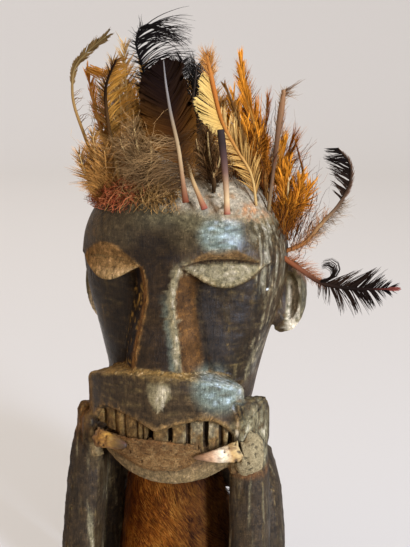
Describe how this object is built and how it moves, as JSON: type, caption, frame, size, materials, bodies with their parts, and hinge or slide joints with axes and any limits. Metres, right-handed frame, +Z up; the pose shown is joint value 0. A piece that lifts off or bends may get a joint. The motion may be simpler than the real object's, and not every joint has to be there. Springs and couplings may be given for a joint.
{
  "type": "carved wooden reliquary bust with feathers",
  "caption": "Bust of a dark carved wooden figure with closed almond eyes, an open toothed mouth, raised hands at the jaw, a hide-wrapped torso and a crown of feathers.",
  "frame": {"origin": "on the flat underside, straight below the middle of the head", "axes": "+Z up along the height of the figure, -Y the way the face looks, +X the left side of the figure"},
  "size_m": [0.2031, 0.1209, 0.3588],
  "materials": {
    "wood": "dark, hand-polished carved wood with a dusty crown and worn edges",
    "hide": "short-haired orange-brown fur hide",
    "tooth": "orange-stained animal tooth with a broken, fibrous root",
    "paste": "dry, porous mix of resin and clay",
    "clay": "pale olive, dry and porous clay",
    "fibre": "reddish tangled plant fibre",
    "feather_dark": "dark brown to black feather",
    "feather_orange": "orange-brown feather and down",
    "feather_pale": "cream to yellow feather",
    "quill": "bare brown feather shaft"
  },
  "bodies": {
    "root": {"wooden_figure": "wood", "hide_wrap": "hide", "animal_tooth_left": "tooth", "animal_tooth_right": "tooth", "mouth_packing": "paste", "clay_lump_left": "clay", "fibre_tangle": "fibre", "feather_large_dark": "feather_dark", "quill_black": "feather_dark", "quill_stub": "quill", "feather_long_curved": "quill", "feather_orange_left": "feather_orange", "feather_dark_shaft": "feather_orange", "plume_black": "feather_dark", "feather_grey_down": "feather_dark", "feather_yellow": "feather_pale", "feather_orange_upright": "feather_orange", "feather_brown_blade": "quill", "quill_frayed": "quill", "feather_orange_side": "feather_orange", "feather_narrow_side": "feather_orange", "feather_side_raised": "feather_dark", "feather_side_low": "feather_dark", "feather_back_dark": "feather_dark", "feather_back_orange": "feather_orange", "tuft_cream_left": "feather_pale", "tuft_brown_left": "feather_orange", "tuft_brown_front": "feather_orange", "tuft_cream_middle": "feather_pale", "tuft_orange_right": "feather_orange", "tuft_orange_ear": "feather_orange", "tuft_back_left": "feather_orange", "tuft_back_middle": "feather_pale", "tuft_back_right": "feather_orange"}
  },
  "joints": []
}
